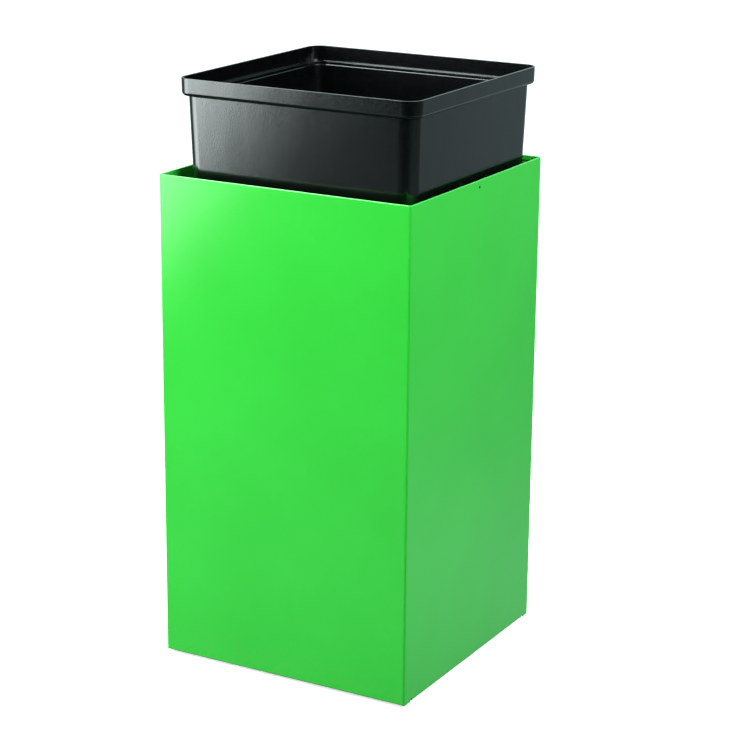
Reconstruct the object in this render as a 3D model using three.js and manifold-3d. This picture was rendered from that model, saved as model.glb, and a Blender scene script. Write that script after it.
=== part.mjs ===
// Square litter bin: an open-topped sheet-steel shell with a tall moulded liner standing loose in it.
//
// Millimetres, +Z up. The origin is on the floor under the middle of the shell. The front faces -Y.
// The shell is a three-sided wrap (front and both sides) closed by a riveted back panel. A floor
// pan lies on the shell's turned-in bottom flanges, and four screws clamp pan, flange and rubber
// foot together at the corners. The liner stands on the pan and lifts straight out.

import * as THREE from "three";
import { mergeVertices } from "three/addons/utils/BufferGeometryUtils.js";
import Module from "manifold-3d";

const wasm = await Module();
wasm.setup();

// ---- Driving dimensions ----

const FIT_GAP = 0.3; // clearance left between touching pieces
const WALL_OVERLAP = 0.5; // how far a plain wall runs into the folds at its top and bottom
const FLANGE_OVERLAP = 0.1; // how far a bend runs into the flat flange beside it
const ARC_STEPS = 6; // facets in a quarter turn of a sheet-metal bend
const ROUND_STEPS = 4; // facets in a quarter turn of the smallest rounds
const TURN_STEPS = 20; // facets round a turned piece or a hole

const SHELL = {
  half: 200, // half of the square plan, over the outer faces
  bottom: 5, // underside of the bottom flanges
  top: 720, // crest of the hem
  sheet: 1.2,
  cornerRadius: 3.2, // outer radius of the vertical bends
  bendRadius: 2.4, // outer radius of the bend along the bottom edge
  hemDepth: 7, // how far the hem's inner leaf reaches down
  hemGap: 0.4, // air between the wall and the hem's inner leaf
};

const FLANGE = {
  endDepth: 22, // turned-in bottom flange of the front wall and the back panel
  sideDepth: 46, // turned-in bottom flange of the side walls, which carries the feet
  cornerClearance: 1, // between the end flanges and the side flanges
  endHalf: 196.4, // half width of the front and back flanges
  reliefWidth: 4, // notch at each end of a side flange
};

const REAR = {
  outerFace: 198.5, // y of the rear flange's outer face, just inside the back panel
  flangeWidth: 24,
  flangeBottom: 10.5,
  flangeTop: 708,
  panelHalf: 196.4, // half width of the back panel
};

const PAN = {
  half: 196.2,
  lip: 25,
  sheet: 1.2,
  bendRadius: 2.4,
  cornerRadius: 6,
  drainRadius: 4,
  drainInset: 110, // of the drain holes, from the middle
};

const SIDE_HOLE = { radius: 2.5, belowTop: 10 };

const FOOT = { x: 170, y: 162, radius: 12, recessRadius: 7, recessDepth: 3, edge: 0.8, facets: 28 };
const SCREW = { radius: 3, headRadius: 6, headHeight: 2.2, length: 14, edge: 0.8 };
const NUT = { acrossFlats: 10, height: 5 };
const HOLE_RADIUS = SCREW.radius + FIT_GAP;

const RIVET = {
  radius: 2,
  headRadius: 4,
  headHeight: 1.3,
  tailRadius: 3,
  tailHeight: 3,
  facets: 14,
  perSide: 5,
  inset: 14, // from the outer side face
  endMargin: 60, // from the shell's bottom and top to the first and last rivet
};

const LINER = {
  offset: [7.5, 4.5], // it stands loose, this far right and back of the middle
  top: 854,
  collarHalf: 188.5,
  collarBottom: 829,
  collarRadius: 22,
  collarEdgeRadius: 5.5, // round the collar's lower outer edge
  collarDraft: 0.5, // how far the collar's face leans in towards its lower edge
  ledgeRound: 0.6, // size of the slopes at both edges of the ledge inside the collar
  stepDepth: 4.3, // from the ledge down to the small step under it
  step: 1.2, // run and drop of that step
  bodyHalf: 181, // under the collar
  bodyRadius: 22,
  draft: 0.0294, // inward run of each wall per millimetre of depth
  wall: 2.8,
  floor: 3.5,
  footRadius: 9, // round the bottom outer edge
  footWidth: 18, // width of the ring that it stands on
  footHeight: 7, // how far the middle of the base is raised
  footSlope: 3, // run of the slope between the ring and the raised middle
  footCorner: 12, // corner radius of the ring's inner edge
};

// ---- Derived places ----

const panBottom = SHELL.bottom + SHELL.sheet + FIT_GAP;
const panTop = panBottom + PAN.sheet;
const linerBottom = panTop + FIT_GAP;
const sideFlangeEnd = SHELL.half - FLANGE.endDepth - FLANGE.cornerClearance;
const hemThickness = 2 * SHELL.sheet + SHELL.hemGap;

const PAINT = { color: 0x3fd64a, roughness: 0.35, metalness: 0 };
const BLACK_PLASTIC = { color: 0x101213, roughness: 0.45, metalness: 0 };
const RUBBER = { color: 0x0c0c0c, roughness: 0.85, metalness: 0 };
const ZINC = { color: 0xb9bcc0, roughness: 0.4, metalness: 1 };

// ---- Geometry helpers ----

// A closed solid through sections with the same number of points, each a closed loop. The first
// and last sections are capped with the given triangles of one loop.
function skin(sections, capTriangles) {
  const count = sections[0].length;
  const positions = sections.flat().flatMap((point) => point.toArray());
  const index = [];
  for (let s = 0; s < sections.length - 1; s++) {
    for (let i = 0; i < count; i++) {
      const next = (i + 1) % count;
      const [a, b] = [s * count + i, s * count + next];
      const [c, d] = [a + count, b + count];
      index.push(a, b, d, a, d, c);
    }
  }
  const last = (sections.length - 1) * count;
  for (const [a, b, c] of capTriangles) {
    index.push(a, c, b, last + a, last + b, last + c);
  }
  const geometry = new THREE.BufferGeometry();
  geometry.setAttribute("position", new THREE.Float32BufferAttribute(positions, 3));
  geometry.setIndex(index);
  return geometry;
}

function toSolid(geometry) {
  const bare = new THREE.BufferGeometry();
  bare.setAttribute("position", geometry.getAttribute("position"));
  bare.setIndex(geometry.getIndex());
  const merged = mergeVertices(bare, 1e-4);
  return new wasm.Manifold(
    new wasm.Mesh({
      numProp: 3,
      vertProperties: merged.attributes.position.array,
      triVerts: new Uint32Array(merged.index.array),
    }),
  );
}

function toGeometry(solid) {
  const mesh = solid.getMesh();
  const geometry = new THREE.BufferGeometry();
  const positions = new THREE.BufferAttribute(new Float32Array(mesh.vertProperties), 3);
  geometry.setAttribute("position", positions);
  geometry.setIndex(new THREE.BufferAttribute(new Uint32Array(mesh.triVerts), 1));
  return geometry;
}

const union = (solids) => solids.reduce((all, solid) => all.add(solid));

function box(low, high) {
  const size = high.map((value, axis) => value - low[axis]);
  const middle = high.map((value, axis) => (value + low[axis]) / 2);
  return toSolid(new THREE.BoxGeometry(...size).translate(...middle));
}

function cylinder(radius, low, high, [x, y]) {
  const geometry = new THREE.CylinderGeometry(radius, radius, high - low, TURN_STEPS);
  return toSolid(geometry.rotateX(Math.PI / 2).translate(x, y, (low + high) / 2));
}

// A solid of revolution about the vertical axis. The profile lists [radius, z] from the bottom.
function turned(profile, segments = TURN_STEPS) {
  const points = profile.map(([radius, z]) => new THREE.Vector2(radius, z));
  return new THREE.LatheGeometry(points, segments).rotateX(Math.PI / 2);
}

// Points of a square with round corners, anticlockwise seen from above.
function roundedSquare(half, radius, z, steps = ARC_STEPS) {
  const reach = half - radius;
  const outline = new THREE.Path();
  outline.absarc(reach, -reach, radius, -Math.PI / 2, 0);
  outline.absarc(reach, reach, radius, 0, Math.PI / 2);
  outline.absarc(-reach, reach, radius, Math.PI / 2, Math.PI);
  outline.absarc(-reach, -reach, radius, Math.PI, 1.5 * Math.PI);
  const points = outline.curves
    .filter((curve) => curve.isEllipseCurve)
    .flatMap((arc) => arc.getPoints(steps));
  return points.map((point) => new THREE.Vector3(point.x, point.y, z));
}

// A vessel whose plan is a rounded square at every height. The profile lists
// { half, radius, z } from the outer bottom, over the rim, to the inner bottom.
function squareTurned(profile, steps) {
  const sections = profile.map(({ half, radius, z }) => roundedSquare(half, radius, z, steps));
  const fan = sections[0].slice(2).map((_, i) => [0, i + 1, i + 2]);
  return skin(sections, fan);
}

// A strip of sheet metal: a cross-section of { inward, z } points, anticlockwise, carried along
// a plan path of { point, inward } stations.
function sweptStrip(stations, crossSection) {
  const sections = stations.map(({ point, inward }) =>
    crossSection.map(
      (c) => new THREE.Vector3(point.x + inward.x * c.inward, point.y + inward.y * c.inward, c.z),
    ),
  );
  const flat = crossSection.map((c) => new THREE.Vector2(c.inward, c.z));
  return toSolid(skin(sections, THREE.ShapeUtils.triangulateShape(flat, [])));
}

// Points of an arc in a cross-section, as { inward, z }. Angles are in quarter turns.
function bend(inward, z, radius, from, to, steps = ARC_STEPS) {
  return Array.from({ length: steps + 1 }, (_, i) => {
    const angle = (from + ((to - from) * i) / steps) * (Math.PI / 2);
    return { inward: inward + radius * Math.cos(angle), z: z + radius * Math.sin(angle) };
  });
}

// ---- Sheet-metal shell ----

// Closed hem: the sheet folds over the top edge and comes down again inside the wall.
function hemSection() {
  const { sheet, top, hemDepth } = SHELL;
  const outer = hemThickness / 2;
  const crest = top - outer;
  const leafBottom = top - hemDepth;
  const wallBottom = leafBottom - 2 * WALL_OVERLAP;
  return [
    { inward: 0, z: wallBottom },
    { inward: sheet, z: wallBottom },
    ...bend(outer, crest, outer - sheet, 2, 0, ROUND_STEPS),
    { inward: hemThickness - sheet, z: leafBottom },
    { inward: hemThickness, z: leafBottom },
    ...bend(outer, crest, outer, 0, 2, 2 * ARC_STEPS),
  ];
}

// The bottom edge turns inwards and ends where the flat flange begins.
function bottomBendSection() {
  const { sheet, bottom, bendRadius } = SHELL;
  const wallTop = bottom + 2 * bendRadius;
  const centre = bottom + bendRadius;
  return [
    { inward: 0, z: wallTop },
    ...bend(bendRadius, centre, bendRadius, 2, 3),
    { inward: bendRadius + FLANGE_OVERLAP, z: bottom },
    { inward: bendRadius + FLANGE_OVERLAP, z: bottom + sheet },
    ...bend(bendRadius, centre, bendRadius - sheet, 3, 2),
    { inward: sheet, z: wallTop },
  ];
}

// Stations along the outer face of the front and both sides, round all four vertical bends.
function wrapStations() {
  const { half, cornerRadius } = SHELL;
  const reach = half - cornerRadius;
  const rear = REAR.outerFace - cornerRadius;
  const corner = (x, y, quarter) =>
    Array.from({ length: ARC_STEPS + 1 }, (_, i) => {
      const angle = (quarter + i / ARC_STEPS) * (Math.PI / 2);
      const outward = new THREE.Vector2(Math.cos(angle), Math.sin(angle));
      const point = new THREE.Vector2(x, y).addScaledVector(outward, cornerRadius);
      return { point, inward: outward.negate() };
    });
  return [
    ...corner(-reach, rear, 1),
    ...corner(-reach, -reach, 2),
    ...corner(reach, -reach, 3),
    ...corner(reach, rear, 4),
  ];
}

// Stations at the two ends of a straight wall that faces along `outward`. Walking from the first
// to the second keeps the inside of the shell on the left.
function straightStations(outward, distance, halfLength) {
  const along = new THREE.Vector2(-outward.y, outward.x);
  return [-1, 1].map((end) => ({
    point: outward.clone().multiplyScalar(distance).addScaledVector(along, end * halfLength),
    inward: outward.clone().negate(),
  }));
}

// The plain sheet of the wrap seen from above: front, both sides and the two rear flanges.
function wrapPlan() {
  const { half, sheet, cornerRadius } = SHELL;
  const reach = half - cornerRadius;
  const rearCentre = REAR.outerFace - cornerRadius;
  const flangeEnd = half - REAR.flangeWidth;
  const inner = cornerRadius - sheet;
  const plan = new THREE.Shape();
  plan.moveTo(-flangeEnd, REAR.outerFace);
  plan.absarc(-reach, rearCentre, cornerRadius, Math.PI / 2, Math.PI);
  plan.absarc(-reach, -reach, cornerRadius, Math.PI, 1.5 * Math.PI);
  plan.absarc(reach, -reach, cornerRadius, 1.5 * Math.PI, 2 * Math.PI);
  plan.absarc(reach, rearCentre, cornerRadius, 0, Math.PI / 2);
  plan.lineTo(flangeEnd, REAR.outerFace);
  plan.lineTo(flangeEnd, REAR.outerFace - sheet);
  plan.absarc(reach, rearCentre, inner, Math.PI / 2, 0, true);
  plan.absarc(reach, -reach, inner, 2 * Math.PI, 1.5 * Math.PI, true);
  plan.absarc(-reach, -reach, inner, 1.5 * Math.PI, Math.PI, true);
  plan.absarc(-reach, rearCentre, inner, Math.PI, Math.PI / 2, true);
  plan.lineTo(-flangeEnd, REAR.outerFace - sheet);
  plan.closePath();
  return plan;
}

function extruded(shape, low, high) {
  const options = { depth: high - low, bevelEnabled: false, curveSegments: ARC_STEPS };
  return toSolid(new THREE.ExtrudeGeometry(shape, options).translate(0, 0, low));
}

// Corners of the shell, as [name, x sign, y sign].
const CORNERS = [
  ["front_left", -1, -1],
  ["front_right", 1, -1],
  ["rear_left", -1, 1],
  ["rear_right", 1, 1],
];

function footScrewHoles() {
  const [low, high] = [SHELL.bottom - 1, panTop + 1];
  return union(
    CORNERS.map(([, sx, sy]) => cylinder(HOLE_RADIUS, low, high, [sx * FOOT.x, sy * FOOT.y])),
  );
}

// Heights and sides of the rivets that hold the back panel.
function rivetPlaces() {
  const low = SHELL.bottom + RIVET.endMargin;
  const high = SHELL.top - RIVET.endMargin;
  return [-1, 1].flatMap((side) =>
    Array.from({ length: RIVET.perSide }, (_, i) => ({
      side,
      number: i + 1,
      x: side * (SHELL.half - RIVET.inset),
      z: low + ((high - low) * i) / (RIVET.perSide - 1),
    })),
  );
}

function rivetHoles() {
  const radius = RIVET.radius + FIT_GAP;
  const length = 8 * SHELL.sheet;
  return union(
    rivetPlaces().map(({ x, z }) => {
      const geometry = new THREE.CylinderGeometry(radius, radius, length, RIVET.facets);
      return toSolid(geometry.translate(x, SHELL.half, z));
    }),
  );
}

// The small round hole near the top of each side, for a lid's fixing screw.
function sideHoles() {
  const { radius, belowTop } = SIDE_HOLE;
  const geometry = new THREE.CylinderGeometry(radius, radius, 3 * SHELL.half, TURN_STEPS);
  return toSolid(geometry.rotateZ(Math.PI / 2).translate(0, 0, SHELL.top - belowTop));
}

// A box around the stretch of a wall's bottom edge that a bend takes the place of.
function bottomCut(outward, halfLength) {
  const { half, sheet, bottom, bendRadius } = SHELL;
  const depth = 2 * sheet;
  const centre = outward.clone().multiplyScalar(half - depth / 2 + FIT_GAP);
  const size = outward.x ? [depth, 2 * halfLength] : [2 * halfLength, depth];
  return box(
    [centre.x - size[0] / 2, centre.y - size[1] / 2, 0],
    [centre.x + size[0] / 2, centre.y + size[1] / 2, bottom + 2 * bendRadius - WALL_OVERLAP],
  );
}

// The bend along a wall's bottom edge with the flat flange that it leads to.
function bottomFlange(outward, halfLength, depth) {
  const { half, sheet, bottom, bendRadius } = SHELL;
  const outer = outward.clone().multiplyScalar(half - bendRadius);
  const inner = outward.clone().multiplyScalar(half - depth);
  const spread = outward.x ? [0, halfLength] : [halfLength, 0];
  const flange = box(
    [Math.min(outer.x, inner.x) - spread[0], Math.min(outer.y, inner.y) - spread[1], bottom],
    [Math.max(outer.x, inner.x) + spread[0], Math.max(outer.y, inner.y) + spread[1], bottom + sheet],
  );
  return sweptStrip(straightStations(outward, half, halfLength), bottomBendSection()).add(flange);
}

function bodyWrap() {
  const { half, bottom, top, hemDepth } = SHELL;
  const front = new THREE.Vector2(0, -1);
  const sides = [new THREE.Vector2(-1, 0), new THREE.Vector2(1, 0)];
  const plain = extruded(wrapPlan(), bottom, top - hemDepth - WALL_OVERLAP);
  const rearTrim = (low, high) =>
    box(
      [-REAR.panelHalf - FIT_GAP, REAR.outerFace - 2 * SHELL.cornerRadius, low],
      [REAR.panelHalf + FIT_GAP, half, high],
    );
  const trims = [
    rearTrim(0, REAR.flangeBottom),
    rearTrim(REAR.flangeTop, top),
    bottomCut(front, FLANGE.endHalf),
    ...sides.map((side) => bottomCut(side, sideFlangeEnd + FLANGE.reliefWidth)),
  ];
  return union([
    plain.subtract(union(trims)),
    sweptStrip(wrapStations(), hemSection()),
    bottomFlange(front, FLANGE.endHalf, FLANGE.endDepth),
    ...sides.map((side) => bottomFlange(side, sideFlangeEnd, FLANGE.sideDepth)),
  ])
    .subtract(rivetHoles())
    .subtract(sideHoles())
    .subtract(footScrewHoles());
}

function backPanel() {
  const { half, sheet, bottom, top, hemDepth, bendRadius } = SHELL;
  const rear = new THREE.Vector2(0, 1);
  const wall = box(
    [-REAR.panelHalf, half - sheet, bottom + 2 * bendRadius - WALL_OVERLAP],
    [REAR.panelHalf, half, top - hemDepth - WALL_OVERLAP],
  );
  return union([
    wall,
    sweptStrip(straightStations(rear, half, REAR.panelHalf), hemSection()),
    bottomFlange(rear, FLANGE.endHalf, FLANGE.endDepth),
  ]).subtract(rivetHoles());
}

// ---- Floor pan, feet and fasteners ----

function floorPan() {
  const { half, lip, sheet, bendRadius, cornerRadius, drainRadius, drainInset } = PAN;
  const centre = panBottom + bendRadius;
  const outside = bend(half - bendRadius, centre, bendRadius, -1, 0, ROUND_STEPS);
  const inside = bend(half - bendRadius, centre, bendRadius - sheet, 0, -1, ROUND_STEPS);
  const ring = (c) => ({ half: c.inward, radius: cornerRadius - (half - c.inward), z: c.z });
  const top = panBottom + lip;
  const profile = [
    ...outside.map(ring),
    { half, radius: cornerRadius, z: top },
    { half: half - sheet, radius: cornerRadius - sheet, z: top },
    ...inside.map(ring),
  ];
  const drains = CORNERS.map(([, sx, sy]) =>
    cylinder(drainRadius, panBottom - 1, panTop + 1, [sx * drainInset, sy * drainInset]),
  );
  return toSolid(squareTurned(profile)).subtract(union([footScrewHoles(), ...drains]));
}

function foot() {
  const { radius, recessRadius, recessDepth, edge } = FOOT;
  const top = SHELL.bottom - FIT_GAP;
  const profile = [
    [recessRadius, 0],
    [radius - edge, 0],
    [radius, edge],
    [radius, top],
    [HOLE_RADIUS, top],
    [HOLE_RADIUS, recessDepth],
    [recessRadius, recessDepth],
    [recessRadius, 0],
  ];
  return turned(profile, FOOT.facets);
}

// Pan-head screw, pointing up, with its head in the foot's recess.
function footScrew() {
  const { radius, headRadius, headHeight, length, edge } = SCREW;
  const seat = FOOT.recessDepth - FIT_GAP;
  const headBottom = seat - headHeight;
  const tip = seat + length;
  const profile = [
    [0, headBottom],
    [headRadius - edge, headBottom],
    [headRadius, headBottom + edge],
    [headRadius, seat],
    [radius, seat],
    [radius, tip - edge],
    [radius - edge, tip],
    [0, tip],
  ];
  return turned(profile);
}

function footNut() {
  const { acrossFlats, height } = NUT;
  const cornerRadius = acrossFlats / Math.sqrt(3);
  const low = panTop + FIT_GAP;
  const hexagon = new THREE.CylinderGeometry(cornerRadius, cornerRadius, height, 6);
  const body = toSolid(hexagon.rotateX(Math.PI / 2).translate(0, 0, low + height / 2));
  return toGeometry(body.subtract(cylinder(HOLE_RADIUS, low - 1, low + height + 1, [0, 0])));
}

// A blind rivet along +Y: domed head outside the back panel, swollen tail inside the flange.
function rivet() {
  const { radius, headRadius, headHeight, tailRadius, tailHeight } = RIVET;
  const headSeat = FIT_GAP;
  const tailSeat = -(SHELL.half - REAR.outerFace + SHELL.sheet + FIT_GAP);
  const profile = [
    [0, tailSeat - tailHeight],
    [tailRadius * 0.6, tailSeat - tailHeight],
    [tailRadius, tailSeat - tailHeight * 0.6],
    [tailRadius, tailSeat],
    [radius, tailSeat],
    [radius, headSeat],
    [headRadius, headSeat],
    [headRadius * 0.85, headSeat + headHeight * 0.6],
    [headRadius * 0.4, headSeat + headHeight],
    [0, headSeat + headHeight],
  ];
  const points = profile.map(([r, y]) => new THREE.Vector2(r, y));
  return new THREE.LatheGeometry(points, RIVET.facets);
}

// ---- Liner ----

// Distance from the middle to the liner's outer wall at a height.
const linerHalfAt = (z) => LINER.bodyHalf - LINER.draft * (LINER.collarBottom - z);

function liner() {
  const { wall } = LINER;
  const outside = [...linerBase(0), ...linerOuterWall()];
  const inside = [...linerInnerWall(), ...linerBase(LINER.floor).reverse()];
  return squareTurned([...outside, ...linerLip(wall / 2), ...inside]);
}

// The raised middle of the base and the inner edge of its foot ring, for the underside or, a
// thickness higher, for the inner floor.
function linerBase(thickness) {
  const { footWidth, footHeight, footSlope, footCorner } = LINER;
  const z = linerBottom + thickness;
  const half = linerHalfAt(linerBottom) - footWidth + thickness / 2;
  const radius = footCorner + thickness / 2;
  return [
    { half: half - footSlope, radius: radius - footSlope, z: z + footHeight },
    { half, radius, z },
  ];
}

// A bend in the vessel's wall. Its corner radius shrinks with the distance to the middle, from
// `cornerRadius` where the distance is `full`.
function linerBend(half, z, radius, from, to, full, cornerRadius) {
  return bend(half, z, radius, from, to, ROUND_STEPS).map((c) => ({
    half: c.inward,
    radius: cornerRadius - (full - c.inward),
    z: c.z,
  }));
}

function linerOuterWall() {
  const { footRadius, bodyHalf, bodyRadius, collarBottom } = LINER;
  const { collarHalf, collarRadius, collarEdgeRadius, collarDraft } = LINER;
  const edge = collarHalf - collarDraft - collarEdgeRadius;
  const round = collarBottom + collarEdgeRadius;
  const [bottom, low] = [linerHalfAt(linerBottom), linerBottom + footRadius];
  return [
    ...linerBend(bottom - footRadius, low, footRadius, -1, 0, bottom, bodyRadius),
    { half: bodyHalf, radius: bodyRadius, z: collarBottom },
    ...linerBend(edge, round, collarEdgeRadius, -1, 0, collarHalf, collarRadius),
  ];
}

function linerLip(radius) {
  const { collarHalf, collarRadius, top } = LINER;
  return linerBend(collarHalf - radius, top - radius, radius, 0, 2, collarHalf, collarRadius);
}

// From the collar's inner face over the ledge and down the inner wall to the floor's round.
function linerInnerWall() {
  const { wall, floor, footRadius, bodyHalf, bodyRadius } = LINER;
  const { collarBottom, collarHalf, collarRadius, ledgeRound, stepDepth, step } = LINER;
  const collar = collarHalf - wall;
  const ledge = collarBottom + wall;
  const body = bodyHalf - wall;
  const round = footRadius - wall;
  const floorZ = linerBottom + floor;
  const floorHalf = linerHalfAt(floorZ) - wall;
  return [
    { half: collar, radius: collarRadius - wall, z: ledge + ledgeRound },
    { half: collar - ledgeRound, radius: collarRadius - wall - ledgeRound, z: ledge },
    { half: body + ledgeRound, radius: bodyRadius - wall + ledgeRound, z: ledge },
    { half: body, radius: bodyRadius - wall, z: ledge - ledgeRound },
    { half: body, radius: bodyRadius - wall, z: ledge - stepDepth },
    { half: body - step, radius: bodyRadius - wall - step, z: ledge - stepDepth - step },
    ...linerBend(floorHalf - round, floorZ + round, round, 0, -1, floorHalf, bodyRadius - wall),
  ];
}

// ---- Assembly ----

function addPiece(group, name, geometry, finish, position = [0, 0, 0]) {
  const piece = new THREE.Mesh(geometry, new THREE.MeshStandardMaterial(finish));
  piece.name = name;
  piece.position.set(...position);
  group.add(piece);
}

const bin = new THREE.Group();
addPiece(bin, "body_wrap", toGeometry(bodyWrap()), PAINT);
addPiece(bin, "back_panel", toGeometry(backPanel()), PAINT);
addPiece(bin, "floor_pan", toGeometry(floorPan()), PAINT);
for (const [corner, sx, sy] of CORNERS) {
  const place = [sx * FOOT.x, sy * FOOT.y, 0];
  addPiece(bin, `foot_${corner}`, foot(), RUBBER, place);
  addPiece(bin, `foot_screw_${corner}`, footScrew(), ZINC, place);
  addPiece(bin, `foot_nut_${corner}`, footNut(), ZINC, place);
}
for (const { side, number, x, z } of rivetPlaces()) {
  const name = `rivet_${side < 0 ? "left" : "right"}_${number}`;
  addPiece(bin, name, rivet(), PAINT, [x, SHELL.half, z]);
}
addPiece(bin, "liner", liner(), BLACK_PLASTIC, [...LINER.offset, 0]);

export default bin;
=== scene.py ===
"""Square litter bin: looks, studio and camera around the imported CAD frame.

Metres, +Z up. The shell is square, its front faces -Y, and the origin is on the floor under its middle.
"""

import math

import bmesh
import bpy
from mathutils import Matrix, Vector


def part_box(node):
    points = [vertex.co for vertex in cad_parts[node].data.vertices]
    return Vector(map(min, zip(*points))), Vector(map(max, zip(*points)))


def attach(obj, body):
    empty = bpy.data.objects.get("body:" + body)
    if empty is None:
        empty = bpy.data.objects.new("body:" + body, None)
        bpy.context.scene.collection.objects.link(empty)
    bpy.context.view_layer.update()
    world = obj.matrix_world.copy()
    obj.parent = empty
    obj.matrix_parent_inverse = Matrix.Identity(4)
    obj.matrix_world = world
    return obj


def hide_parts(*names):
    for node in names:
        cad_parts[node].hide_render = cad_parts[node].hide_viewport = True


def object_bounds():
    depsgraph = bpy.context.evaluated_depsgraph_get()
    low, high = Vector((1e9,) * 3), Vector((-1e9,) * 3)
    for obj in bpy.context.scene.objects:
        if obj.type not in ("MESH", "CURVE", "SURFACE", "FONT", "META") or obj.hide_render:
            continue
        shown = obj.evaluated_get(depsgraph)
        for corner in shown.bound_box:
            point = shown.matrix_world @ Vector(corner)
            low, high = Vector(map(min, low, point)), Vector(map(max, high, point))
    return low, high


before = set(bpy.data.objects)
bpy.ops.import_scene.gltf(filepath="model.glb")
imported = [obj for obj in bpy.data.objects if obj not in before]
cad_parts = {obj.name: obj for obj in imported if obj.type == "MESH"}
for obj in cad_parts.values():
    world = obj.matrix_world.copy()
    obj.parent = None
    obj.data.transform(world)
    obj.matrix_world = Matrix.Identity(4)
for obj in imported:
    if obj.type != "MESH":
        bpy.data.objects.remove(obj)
cad_low, cad_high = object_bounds()

# ---- Names of the record's bodies and slots ----

SHELL, LINER = "shell", "liner"
GREEN, BLACK, RUBBER, ZINC = "green_powder_coat", "black_liner_plastic", "foot_rubber", "zinc_fastener"
MM = 0.001

# ---- Shape helpers ----


def make_object(name, mesh_builder, sharp_angle=35):
    """An object from a bmesh, smooth except at edges sharper than the angle."""
    mesh = bpy.data.meshes.new(name)
    mesh_builder.normal_update()
    mesh_builder.to_mesh(mesh)
    mesh_builder.free()
    mesh.shade_smooth()
    mesh.set_sharp_from_angle(angle=math.radians(sharp_angle))
    piece = bpy.data.objects.new(name, mesh)
    bpy.context.scene.collection.objects.link(piece)
    return piece


def even_normals(piece):
    """Keeps large faces flat in shading where they meet narrow bends."""
    modifier = piece.modifiers.new("even_normals", "WEIGHTED_NORMAL")
    modifier.keep_sharp = True
    modifier.weight = 100


def add_piece(piece, body, material, slot, *nodes):
    """Rides the piece on its body, in place of its CAD nodes."""
    piece.data.materials.clear()
    piece.data.materials.append(material)
    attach(piece, body)
    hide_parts(*nodes)


def bridge_loops(builder, loops, close=False):
    """Quads between neighbouring loops of vertices, each loop closed."""
    pairs = list(zip(loops, loops[1:]))
    if close:
        pairs.append((loops[-1], loops[0]))
    for low, high in pairs:
        count = len(low)
        for i in range(count):
            j = (i + 1) % count
            builder.faces.new((low[i], low[j], high[j], high[i]))


def arc(centre, radius, start, end, steps):
    """Points (u, v) of an arc in a profile. Angles are in quarter turns."""
    for i in range(steps + 1):
        angle = (start + (end - start) * i / steps) * math.pi / 2
        yield centre[0] + radius * math.cos(angle), centre[1] + radius * math.sin(angle)


def towards(azimuth, elevation):
    """Unit vector from the bin at an angle round from the front and up from level, in degrees."""
    azimuth, elevation = math.radians(azimuth), math.radians(elevation)
    return Vector((
        math.sin(azimuth) * math.cos(elevation),
        -math.cos(azimuth) * math.cos(elevation),
        math.sin(elevation),
    ))


# ---- Camera: the photo's viewing angle ----

VIEW_AZIMUTH, VIEW_ELEVATION, VIEW_ROLL = 29.147, 16.504, 0.580
VIEW_DISTANCE = 3.3274
VIEW_TARGET_RIGHT, VIEW_TARGET_HEIGHT = 0.0320, 0.4082
VIEW_LENS = 109.08


def add_camera():
    right = towards(VIEW_AZIMUTH + 90, 0)
    back = towards(VIEW_AZIMUTH, VIEW_ELEVATION)
    data = bpy.data.cameras.new("camera")
    data.lens = VIEW_LENS
    data.sensor_width = 36
    data.clip_end = 60
    camera = bpy.data.objects.new("camera", data)
    camera.location = back * VIEW_DISTANCE + right * VIEW_TARGET_RIGHT + Vector((0, 0, VIEW_TARGET_HEIGHT))
    facing = back.to_track_quat("Z", "Y").to_matrix().to_4x4()
    camera.matrix_world = (
        Matrix.Translation(camera.location) @ facing @ Matrix.Rotation(math.radians(VIEW_ROLL), 4, "Z")
    )
    bpy.context.scene.collection.objects.link(camera)
    bpy.context.scene.camera = camera


# ---- Node helpers ----


def rescaled(tree, value, low, high, to_low=0.0, to_high=1.0, interpolation="LINEAR"):
    """The value rescaled from low..high to to_low..to_high, and clamped."""
    node = tree.nodes.new("ShaderNodeMapRange")
    node.interpolation_type = interpolation
    for name, number in (("From Min", low), ("From Max", high), ("To Min", to_low), ("To Max", to_high)):
        node.inputs[name].default_value = number
    tree.links.new(value, node.inputs["Value"])
    return node.outputs["Result"]


def combined(tree, operation, first, second):
    """Two values added or multiplied."""
    node = tree.nodes.new("ShaderNodeMath")
    node.operation = operation
    tree.links.new(first, node.inputs[0])
    tree.links.new(second, node.inputs[1])
    return node.outputs[0]


def reach_along(tree, vector, direction):
    """How far a vector reaches in a direction."""
    node = tree.nodes.new("ShaderNodeVectorMath")
    node.operation = "DOT_PRODUCT"
    node.inputs[1].default_value = direction
    tree.links.new(vector, node.inputs[0])
    return node.outputs["Value"]


# ---- Materials ----


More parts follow.
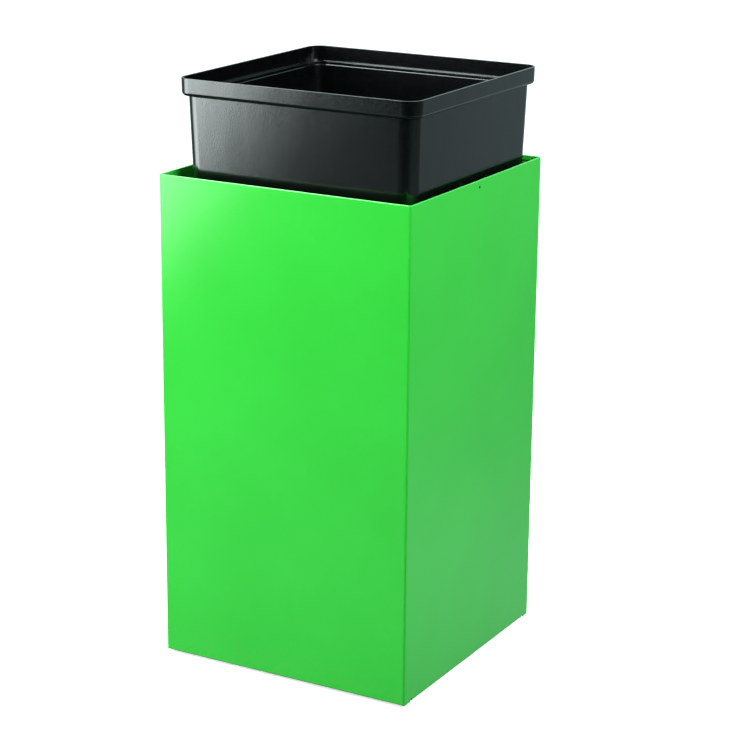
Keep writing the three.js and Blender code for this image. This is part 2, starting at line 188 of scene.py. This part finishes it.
class Nodes:
    """Short calls for building one material's node tree."""

    def __init__(self, name):
        self.material = bpy.data.materials.new(name)
        self.material.use_nodes = True
        self.tree = self.material.node_tree
        self.shader = self.tree.nodes["Principled BSDF"]
        self.place = self.tree.nodes.new("ShaderNodeTexCoord").outputs["Object"]

    def link(self, source, socket):
        self.tree.links.new(source, socket)

    def noise(self, scale, detail=2.0, roughness=0.5, stretch=None):
        """Noise over the object's own coordinates, `scale` features to the metre."""
        node = self.tree.nodes.new("ShaderNodeTexNoise")
        node.inputs["Scale"].default_value = scale
        node.inputs["Detail"].default_value = detail
        node.inputs["Roughness"].default_value = roughness
        source = self.place
        if stretch:
            mapping = self.tree.nodes.new("ShaderNodeMapping")
            mapping.inputs["Scale"].default_value = stretch
            self.link(self.place, mapping.inputs["Vector"])
            source = mapping.outputs["Vector"]
        self.link(source, node.inputs["Vector"])
        return node.outputs["Fac"]

    def ramp(self, value, *stops):
        return rescaled(self.tree, value, *stops)

    def height(self):
        """Height above the floor at rest."""
        node = self.tree.nodes.new("ShaderNodeSeparateXYZ")
        self.link(self.place, node.inputs[0])
        return node.outputs["Z"]

    def mix(self, share, first, second):
        """A colour between two others. Each is a colour or another node's output."""
        node = self.tree.nodes.new("ShaderNodeMix")
        node.data_type = "RGBA"
        self.link(share, node.inputs[0])
        for socket, colour in ((node.inputs[6], first), (node.inputs[7], second)):
            if isinstance(colour, tuple):
                socket.default_value = (*colour, 1)
            else:
                self.link(colour, socket)
        return node.outputs[2]

    def bump(self, height, depth, strength=1.0, under=None):
        """A bump of that depth in metres, on top of another bump's normal."""
        node = self.tree.nodes.new("ShaderNodeBump")
        node.inputs["Strength"].default_value = strength
        node.inputs["Distance"].default_value = depth
        self.link(height, node.inputs["Height"])
        if under:
            self.link(under, node.inputs["Normal"])
        return node.outputs["Normal"]

    def finish(self, colour, roughness, normal, **constants):
        self.link(colour, self.shader.inputs["Base Color"])
        self.link(roughness, self.shader.inputs["Roughness"])
        self.link(normal, self.shader.inputs["Normal"])
        for name, number in constants.items():
            self.shader.inputs[name.replace("_", " ")].default_value = number
        return self.material


def powder_coat():
    """Satin green powder coat: orange peel, faint tone drift, and dust low down."""
    nodes = Nodes("green_powder_coat")
    tone = nodes.ramp(nodes.noise(5, 3), 0.35, 0.65)
    green = nodes.mix(tone, (0.027, 0.452, 0.033), (0.030, 0.478, 0.037))
    dust = combined(
        nodes.tree, "MULTIPLY",
        nodes.ramp(nodes.height(), 0.06, 0.004, 0, 0.10),
        nodes.ramp(nodes.noise(70, 4, 0.6), 0.4, 0.7),
    )
    colour = nodes.mix(dust, green, (0.20, 0.24, 0.15))
    roughness = nodes.ramp(nodes.noise(90, 3), 0.3, 0.7, 0.13, 0.18)
    waves = nodes.bump(nodes.noise(9, 1), 0.0015, 0.15)
    peel = nodes.bump(nodes.noise(850, 2), 0.00012, 0.25, waves)
    return nodes.finish(colour, roughness, peel, IOR=1.44)


def liner_plastic():
    """Black moulded polypropylene with a fine pebbled grain."""
    nodes = Nodes("black_liner_plastic")
    mottle = nodes.ramp(nodes.noise(55, 4, 0.6), 0.35, 0.65)
    colour = nodes.mix(mottle, (0.0010, 0.0013, 0.0014), (0.0018, 0.0022, 0.0023))
    roughness = nodes.ramp(nodes.noise(240, 4, 0.6), 0.3, 0.7, 0.13, 0.18)
    flow = nodes.bump(nodes.noise(14, 2, 0.5, (1, 1, 0.4)), 0.002, 0.15)
    grain = nodes.bump(nodes.noise(570, 2), 0.00015, 0.47, flow)
    return nodes.finish(colour, roughness, grain, IOR=1.6)


def foot_rubber():
    nodes = Nodes("foot_rubber")
    colour = nodes.mix(nodes.noise(300, 3), (0.012, 0.012, 0.012), (0.030, 0.029, 0.027))
    roughness = nodes.ramp(nodes.noise(500, 3), 0.3, 0.7, 0.75, 0.92)
    return nodes.finish(colour, roughness, nodes.bump(nodes.noise(1500, 2), 0.0002, 0.5))


def zinc_plate():
    nodes = Nodes("zinc_fastener")
    colour = nodes.mix(nodes.noise(420, 4, 0.65), (0.46, 0.47, 0.49), (0.66, 0.67, 0.66))
    roughness = nodes.ramp(nodes.noise(900, 3), 0.3, 0.7, 0.28, 0.46)
    return nodes.finish(colour, roughness, nodes.bump(nodes.noise(1800, 2), 0.00008, 0.4), Metallic=1.0)


def studio_paint(name, glow):
    """Pale matt paint that glows a little, so that it stays pale where no lamp reaches."""
    nodes = Nodes(name)
    colour = nodes.mix(nodes.noise(2, 2), (0.88, 0.88, 0.88), (0.90, 0.90, 0.90))
    roughness = nodes.ramp(nodes.noise(30, 2), 0.3, 0.7, 0.85, 0.95)
    nodes.shader.inputs["Emission Color"].default_value = (1, 1, 1, 1)
    nodes.shader.inputs["Emission Strength"].default_value = glow
    return nodes.finish(colour, roughness, nodes.bump(nodes.noise(200, 2), 0.0001, 0.2))


# ---- Liner ----

# Half widths and corner radii are of the outer faces. The draft is each wall's inward run by depth.
COLLAR_HALF, COLLAR_DEPTH, COLLAR_CORNER = 188.5 * MM, 25 * MM, 22 * MM
BODY_HALF, BODY_CORNER, DRAFT = 181 * MM, 22 * MM, 0.0294
LINER_WALL, LINER_FLOOR = 2.8 * MM, 3.5 * MM
EDGE_ROUND, LIP_ROUND, FOOT_ROUND = 5.5 * MM, 0.18 * MM, 9 * MM
LEDGE_ROUND, LEDGE_TO_STEP = 0.15 * MM, 4.3 * MM
STEP_RUN, STEP_ROUND, STEP_LEAN = 1.2 * MM, 0.3 * MM, 0.1 * MM
COLLAR_LEAN = 0.5 * MM  # of the collar's face at its lower edge
RING_WIDTH, RING_CORNER, RING_HEIGHT = 18 * MM, 12 * MM, 7 * MM  # the ring that the liner stands on
RING_SLOPE, RING_EASE = 3 * MM, 0.6 * MM
WALL_STEPS = 8


def rounded_square(half, corner, z, centre, corner_steps=20):
    """Points of a level square with round corners, anticlockwise from above."""
    reach = half - corner
    for quarter, (sx, sy) in enumerate(((1, -1), (1, 1), (-1, 1), (-1, -1))):
        for x, y in arc((sx * reach, sy * reach), corner, quarter - 1, quarter, corner_steps):
            yield Vector((centre.x + x, centre.y + y, z))


def round_profile(half, z, radius, start, end, full, corner, steps=8):
    """A fillet whose plan corner shrinks with the distance to the middle."""
    return [
        (u, v, max(corner - (full - u), 1 * MM))
        for u, v in arc((half, z), radius, start, end, steps)
    ]


def liner_profile(bottom, top):
    """(half width, height, corner radius) from under the base, over the lip, to the inner floor."""
    collar_low = top - COLLAR_DEPTH
    ledge = collar_low + LINER_WALL

    def half_at(z):
        return BODY_HALF - DRAFT * (collar_low - z)

    # The base: raised in the middle, and round at its outer edge.
    outer_low = half_at(bottom)
    ring = outer_low - RING_WIDTH
    profile = [
        (ring - run, bottom + rise, RING_CORNER - run)
        for run, rise in (
            (RING_SLOPE, RING_HEIGHT),
            (RING_SLOPE - RING_EASE, RING_HEIGHT - RING_EASE),
            (RING_EASE, RING_EASE),
            (0, 0),
        )
    ]
    profile += round_profile(
        outer_low - FOOT_ROUND, bottom + FOOT_ROUND, FOOT_ROUND, -1, 0, outer_low, BODY_CORNER
    )
    for step in range(1, WALL_STEPS):
        z = bottom + (collar_low - bottom) * step / WALL_STEPS
        profile.append((half_at(z), z, BODY_CORNER))

    # The collar: a small hollow under it, then its outer face and the lip.
    profile += [
        (BODY_HALF + run * MM, collar_low - drop * MM, BODY_CORNER)
        for run, drop in ((-0.02, 0.8), (0.25, 0.2), (0.8, 0))
    ]
    profile += round_profile(
        COLLAR_HALF - COLLAR_LEAN - EDGE_ROUND, collar_low + EDGE_ROUND, EDGE_ROUND, -1, 0,
        COLLAR_HALF, COLLAR_CORNER,
    )
    inner_collar = COLLAR_HALF - LINER_WALL
    for half, start in ((COLLAR_HALF - LIP_ROUND, 0), (inner_collar + LIP_ROUND, 1)):
        profile += round_profile(
            half, top - LIP_ROUND, LIP_ROUND, start, start + 1, COLLAR_HALF, COLLAR_CORNER, 4
        )

    # The ledge inside the collar, and the small step under it.
    inner_body = BODY_HALF - LINER_WALL
    profile += round_profile(
        inner_collar - LEDGE_ROUND, ledge + LEDGE_ROUND, LEDGE_ROUND, 0, -1,
        COLLAR_HALF, COLLAR_CORNER, 4,
    )
    profile += round_profile(
        inner_body + LEDGE_ROUND, ledge - LEDGE_ROUND, LEDGE_ROUND, 1, 2, BODY_HALF, BODY_CORNER, 4
    )
    step_z = ledge - LEDGE_TO_STEP
    profile += round_profile(
        inner_body - STEP_LEAN - STEP_ROUND, step_z, STEP_ROUND, 0, -1, BODY_HALF, BODY_CORNER, 3
    )
    profile += round_profile(
        inner_body - STEP_RUN + STEP_ROUND, step_z - 2 * STEP_ROUND, STEP_ROUND, 1, 2,
        BODY_HALF, BODY_CORNER, 3,
    )

    # The inner floor.
    floor_z = bottom + LINER_FLOOR
    inner_round = FOOT_ROUND - LINER_WALL
    inner_low = half_at(floor_z) - LINER_WALL
    profile += round_profile(
        inner_low - inner_round, floor_z + inner_round, inner_round, 0, -1,
        inner_low, BODY_CORNER - LINER_WALL,
    )
    profile += [
        (ring + LINER_FLOOR / 2 - run, floor_z + rise, RING_CORNER + LINER_FLOOR / 2 - run)
        for run, rise in ((0, 0), (RING_SLOPE, RING_HEIGHT))
    ]
    return profile


def build_liner():
    low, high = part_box("liner")
    centre = (low + high) / 2
    builder = bmesh.new()
    loops = [
        [builder.verts.new(point) for point in rounded_square(half, corner, z, centre)]
        for half, z, corner in liner_profile(low.z, high.z)
    ]
    bridge_loops(builder, loops)
    builder.faces.new(reversed(loops[0]))
    builder.faces.new(loops[-1])
    piece = make_object("liner_moulding", builder, 40)
    even_normals(piece)
    add_piece(piece, LINER, liner_plastic(), BLACK, "liner")


# ---- Sheet metal: CAD nodes with smooth folds ----


def finish_sheet_metal(paint):
    for name in ("body_wrap", "back_panel", "floor_pan"):
        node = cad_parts[name]
        node.data.materials.clear()
        node.data.materials.append(paint)
        node.data.shade_smooth()
        node.data.set_sharp_from_angle(angle=math.radians(30))
        even_normals(node)


# ---- Small parts ----

ALONG_Y = Matrix.Rotation(-math.pi / 2, 3, "X")
UPRIGHT = Matrix.Identity(3)


def turned(name, profile, place, segments, turn=UPRIGHT, shape=None, ring=False):
    """A solid turned from a profile of (radius, height) in mm. A ring's profile is closed."""
    builder = bmesh.new()
    loops = []
    for radius, height in profile:
        loop = []
        for k in range(segments):
            angle = 2 * math.pi * k / segments
            reach = shape(radius, height, angle) if shape else radius
            point = Vector((reach * math.cos(angle), reach * math.sin(angle), height)) * MM
            loop.append(builder.verts.new(place + turn @ point))
        loops.append(loop)
    bridge_loops(builder, loops, ring)
    if not ring:
        builder.faces.new(reversed(loops[0]))
        builder.faces.new(loops[-1])
    return make_object(name, builder, 40)


def nodes_of(prefix):
    """Names of the CAD nodes with a prefix, each with the low and high corner of its box."""
    for name in sorted(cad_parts):
        if name.startswith(prefix):
            yield name, *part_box(name)


def standing_place(low, high):
    """The middle of a box's underside."""
    return Vector(((low.x + high.x) / 2, (low.y + high.y) / 2, low.z))


def hexagon(radius, angle):
    """Distance from the middle to a hexagon's edge, from half its width across flats."""
    return radius / math.cos((angle + math.pi / 6) % (math.pi / 3) - math.pi / 6)


def build_rivets(paint):
    """Blind rivets: a low dome with the mandrel's hollow outside, a swollen tail inside."""
    head_height, tail_height, shank = 1.3, 3, 2
    rim, dome_radius, dome_height = 0.3, 3.94, 0.98
    for name, low, high in nodes_of("rivet"):
        face = high.y - head_height * MM
        place = Vector(((low.x + high.x) / 2, face, (low.z + high.z) / 2))
        tail_end = (low.y - face) / MM
        seat = tail_end + tail_height
        profile = [(0.7, tail_end + 0.1), (0.9, tail_end), (1.0, tail_end + 0.6), (1.5, tail_end + 0.35)]
        profile += arc((1.7, tail_end + 1.6), 1.3, -1, 0.7, 8)
        profile += [(shank, seat - 0.1), (shank, 0), (3.85, 0), (4, 0.12), (3.98, rim)]
        profile += [
            (dome_radius * math.cos(t), rim + dome_height * math.sin(t))
            for t in (0.2, 0.4, 0.6, 0.8, 1.0, 1.2)
        ]
        profile += [(1.2, 1.26), (1.02, 1.1), (1.0, 0.6), (0.4, 0.5)]
        add_piece(turned(f"{name}_detail", profile, place, 32, ALONG_Y), SHELL, paint, GREEN, name)


def build_feet(rubber):
    """Rubber feet: fluted side, two grooves underneath and a recess for the screw's head."""
    flutes, flute_depth = 18, 0.24

    def fluted(radius, height, angle):
        reach = min(1, max(0, (radius - 11.5) / 0.4))
        return radius - flute_depth / 2 * reach * (1 - math.cos(flutes * angle))

    grooves = [
        (radius + run, rise)
        for radius in (8.1, 9.7)
        for run, rise in ((-0.45, 0.0), (-0.3, 0.4), (0.3, 0.4), (0.45, 0.0))
    ]
    profile = [*arc((7.3, 0.3), 0.3, 2, 3, 3), *grooves, *arc((11.2, 0.8), 0.8, -1, 0, 5)]
    profile += [(11.95, 1.3), (12, 1.6), (12, 3.4), (11.95, 3.8), *arc((11.6, 4.3), 0.4, 0, 1, 4)]
    profile += [*arc((3.6, 4.4), 0.3, 1, 2, 3), (3.3, 3.1), (3.5, 3.0), (6.8, 3.0), (7.0, 2.8)]
    for name, low, high in nodes_of("foot_"):
        if "screw" in name or "nut" in name:
            continue
        place = standing_place(low, high)
        piece = turned(f"{name}_detail", profile, place, 8 * flutes, shape=fluted, ring=True)
        add_piece(piece, SHELL, rubber, RUBBER, name)


def build_screws(zinc):
    """Pan-head screws, pointing up: hexagon socket in the head, and a cut thread."""
    shank, head_radius, head_height, length = 3, 6, 2.2, 14
    pitch, thread_depth, steps_to_pitch = 1.0, 0.45, 6
    dome_height = 1.75

    def cut(radius, height, angle):
        if height < 0.6 * head_height and radius < 2.6:
            return hexagon(radius, angle)
        if height < head_height + 0.8 or radius < 2.9:
            return radius
        turn = (height / pitch - angle / (2 * math.pi)) % 1
        return radius - thread_depth * abs(2 * turn - 1)

    profile = [(1.9, 1.3), (2.0, 1.2), (2.0, 0.3), (2.15, 0.15)]
    profile += [
        (head_radius * math.sin(t), dome_height * (1 - math.cos(t)))
        for t in (0.55, 0.75, 0.95, 1.15, 1.35, 1.57)
    ]
    profile += [(head_radius, 2.0), (head_radius - 0.15, head_height), (shank, head_height)]
    steps = steps_to_pitch * (length - 1)
    profile += [(shank, 3.0 + (length - 1.4) * k / steps) for k in range(steps + 1)]
    profile += [(shank - 0.5, head_height + length)]
    for name, low, high in nodes_of("foot_screw"):
        piece = turned(f"{name}_detail", profile, standing_place(low, high), 36, shape=cut)
        add_piece(piece, SHELL, zinc, ZINC, name)


def build_nuts(zinc):
    """Hexagon nuts with their corners turned off at both ends."""
    half_flats, height, hole, chamfer = 5, 5, 3.3, 0.6

    def cornered(radius, level, angle):
        if radius < 4:
            return radius
        run = min(level, height - level)
        return min(hexagon(half_flats, angle), 4.9 + 1.2 * run)

    levels = [0.05, 0.25, 0.45, 0.65, 0.85, 4.15, 4.35, 4.55, 4.75, 4.95]
    profile = [(4.8, level) for level in levels]
    profile += [(hole + chamfer, height), (hole, height - chamfer), (hole, chamfer), (hole + chamfer, 0)]
    for name, low, high in nodes_of("foot_nut"):
        place = standing_place(low, high)
        piece = turned(f"{name}_detail", profile, place, 72, shape=cornered, ring=True)
        add_piece(piece, SHELL, zinc, ZINC, name)


# ---- Studio ----

# The key softbox: its face and its fades are in metres along the face and up from the floor.
KEY_AZIMUTH, KEY_DISTANCE, KEY_POWER = -47, 2.0, 151
KEY_LEFT, KEY_BOTTOM, KEY_WIDTH, KEY_HEIGHT = -1.60, 0.0, 2.4, 2.0
KEY_SLANT = 0.65
KEY_RIGHT_FADE = (-0.26, -0.04)
KEY_BOTTOM_FADE = (-0.05, 0.25)
KEY_LEFT_FADE = (-1.65, -0.35)

# The other softboxes: name, azimuth, elevation, distance, size, power, and the height that they face.
SOFTBOXES = (
    ("right", 75, 36, 2.5, (1.5, 1.5), 84, 0.4),
    ("overhead", -75, 57, 2.2, (1.8, 1.0), 130, 0.7),
)
SOFTBOX_TINT = (0.88, 1.0, 0.98)
TOP_STRENGTH, TOP_SPREAD = 1.3, 70

# Brightness by the height of a direction, from straight down to up: the lit floor round the bin,
# and the room's walls beyond it.
FLOOR_POOL = ((-0.47, 0.1), (-0.41, 0.55), (-0.36, 0.9), (-0.33, 0.66), (-0.29, 0.25), (-0.25, 0.0))
ROOM_WALLS = ((-0.31, 0.0), (-0.28, 0.2), (-0.25, 0.30), (-0.16, 0.38), (0.0, 0.4), (0.1, 0.1))
BACKDROP = ((-0.12, 0.0), (0.0, 0.8), (0.08, 2.2), (0.48, 2.2), (0.5, 1.5))
ROOM_TINT = (0.76, 1.0, 1.03, 1)


def add_floor():
    """A round floor with a wall round it. Only the camera sees them: the world does the lighting."""
    radius, height, segments = 14, 14, 96
    floor_shape, wall_shape = bmesh.new(), bmesh.new()
    bmesh.ops.create_circle(floor_shape, cap_ends=True, radius=radius, segments=segments)
    bmesh.ops.create_cone(
        wall_shape, radius1=radius, radius2=radius, depth=height, segments=segments,
        matrix=Matrix.Translation((0, 0, height / 2)),
    )
    for name, shape, glow in (("floor", floor_shape, 0.6), ("backdrop", wall_shape, 1.0)):
        piece = make_object(name, shape)
        piece.data.materials.append(studio_paint(f"studio_{name}", glow))
        piece.visible_glossy = False
        piece.visible_diffuse = False


def add_softbox(name, azimuth, elevation, distance, size, power, target):
    data = bpy.data.lights.new(name, "AREA")
    data.shape = "RECTANGLE"
    data.size, data.size_y = size
    data.energy = power
    data.color = SOFTBOX_TINT
    light = bpy.data.objects.new(name, data)
    out = towards(azimuth, elevation)
    light.location = Vector(target) + out * distance
    light.rotation_mode = "QUATERNION"
    light.rotation_quaternion = out.to_track_quat("Z", "Y")
    bpy.context.scene.collection.objects.link(light)
    return data


def soften_edges(light):
    """Fades the key softbox towards its right edge, which slants, its bottom and its left edge."""
    light.use_nodes = True
    tree = light.node_tree
    place = tree.nodes.new("ShaderNodeNewGeometry").outputs["Parametric"]

    def fade(across, up, offset, edges):
        along = reach_along(tree, place, (across, up, 0))
        low, high = (edge - offset for edge in edges)
        return rescaled(tree, along, low, high, interpolation="SMOOTHSTEP")

    slant_start = KEY_SLANT * KEY_BOTTOM - KEY_LEFT
    right_edge = fade(-KEY_WIDTH, KEY_SLANT * KEY_HEIGHT, slant_start, KEY_RIGHT_FADE)
    bottom_edge = fade(0, KEY_HEIGHT, KEY_BOTTOM, KEY_BOTTOM_FADE)
    left_edge = fade(KEY_WIDTH, 0, KEY_LEFT, KEY_LEFT_FADE)
    lower_right = combined(tree, "MULTIPLY", right_edge, bottom_edge)
    total = combined(tree, "MULTIPLY", lower_right, left_edge)
    tree.links.new(total, tree.nodes["Emission"].inputs["Strength"])


def add_top_light():
    data = bpy.data.lights.new("top", "SUN")
    data.energy = TOP_STRENGTH
    data.angle = math.radians(TOP_SPREAD)
    light = bpy.data.objects.new("top", data)
    bpy.context.scene.collection.objects.link(light)


def add_world():
    """The room: pale behind the bin, dark in front of it and overhead."""
    world = bpy.data.worlds.new("studio")
    bpy.context.scene.world = world
    world.use_nodes = True
    tree = world.node_tree
    direction = tree.nodes.new("ShaderNodeTexCoord").outputs["Generated"]
    split = tree.nodes.new("ShaderNodeSeparateXYZ")
    tree.links.new(direction, split.inputs[0])
    across, deep, up = split.outputs

    def levels(stops):
        """Brightness by the height of the direction."""
        node = tree.nodes.new("ShaderNodeValToRGB")
        elements = node.color_ramp.elements
        while len(elements) < len(stops):
            elements.new(0.5)
        for element, (height, level) in zip(elements, stops):
            element.position = height + 0.5
            element.color = (level, level, level, 1)
        tree.links.new(rescaled(tree, up, -0.5, 0.5), node.inputs[0])
        return node.outputs["Color"]

    def product(value, *others):
        """All the values multiplied together."""
        for other in others:
            value = combined(tree, "MULTIPLY", value, other)
        return value

    behind = rescaled(tree, deep, -0.3, 0.8, 0.04, 1)
    panel = rescaled(tree, reach_along(tree, direction, (-0.895, 0.446, 0)), -0.06, 0.06, 0.55, 1.45)
    walls = product(levels(ROOM_WALLS), behind, panel)
    near_side = rescaled(tree, reach_along(tree, direction, (0.48, -0.877, 0)), 0.6, 0.93, 1, 0.2)
    pool = product(levels(FLOOR_POOL), near_side)
    backdrop = product(
        levels(BACKDROP),
        rescaled(tree, deep, 0.3, 0.8),
        rescaled(tree, across, 0.15, 0.45, 1, 0.12),
        rescaled(tree, across, -0.45, -0.2, 0.2, 1),
    )
    total = combined(tree, "ADD", combined(tree, "ADD", pool, walls), backdrop)
    tree.nodes["Background"].inputs["Color"].default_value = ROOM_TINT
    tree.links.new(total, tree.nodes["Background"].inputs["Strength"])


def add_studio():
    add_floor()
    facing = towards(KEY_AZIMUTH, 0)
    sideways = Vector((-facing.y, facing.x, 0)) * (KEY_LEFT + KEY_WIDTH / 2)
    target = Vector((0, cad_low.y, KEY_BOTTOM + KEY_HEIGHT / 2)) + sideways
    key = add_softbox("key", KEY_AZIMUTH, 0, KEY_DISTANCE, (KEY_WIDTH, KEY_HEIGHT), KEY_POWER, target)
    soften_edges(key)
    for *settings, height in SOFTBOXES:
        add_softbox(*settings, (0, 0, height))
    add_top_light()
    add_world()
    bpy.context.scene.view_settings.view_transform = "Standard"


# ---- The whole scene ----

add_camera()
paint = powder_coat()
finish_sheet_metal(paint)
build_rivets(paint)
build_feet(foot_rubber())
zinc = zinc_plate()
build_screws(zinc)
build_nuts(zinc)
build_liner()
add_studio()
